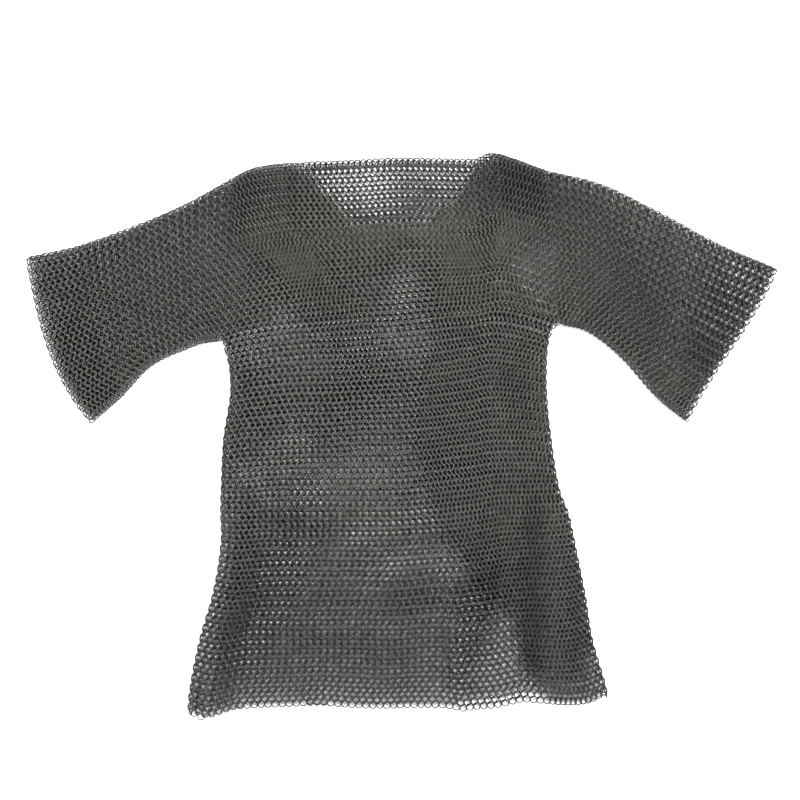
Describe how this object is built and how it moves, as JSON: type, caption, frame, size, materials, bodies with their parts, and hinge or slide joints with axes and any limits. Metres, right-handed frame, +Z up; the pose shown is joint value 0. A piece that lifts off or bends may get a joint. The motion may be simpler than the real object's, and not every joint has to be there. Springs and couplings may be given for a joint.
{
  "type": "chainmail haubergeon",
  "caption": "Short-sleeved mail shirt of linked blackened steel rings, laid flat, with a cut-out front neck and an open hem and cuffs.",
  "frame": {"origin": "middle of the underside of the shirt as it lies, on the surface that carries it", "axes": "+X across the shirt towards the sleeve on the right in a view from above, +Y from the hem to the neck, +Z up through the layers"},
  "size_m": [1.281, 0.9577, 0.0218],
  "materials": {
    "ring_mail": "blackened steel wire, satin, with worn brighter crowns"
  },
  "bodies": {
    "root": {"back_panel": "ring_mail", "front_panel": "ring_mail", "left_sleeve": "ring_mail", "right_sleeve": "ring_mail"}
  },
  "joints": []
}
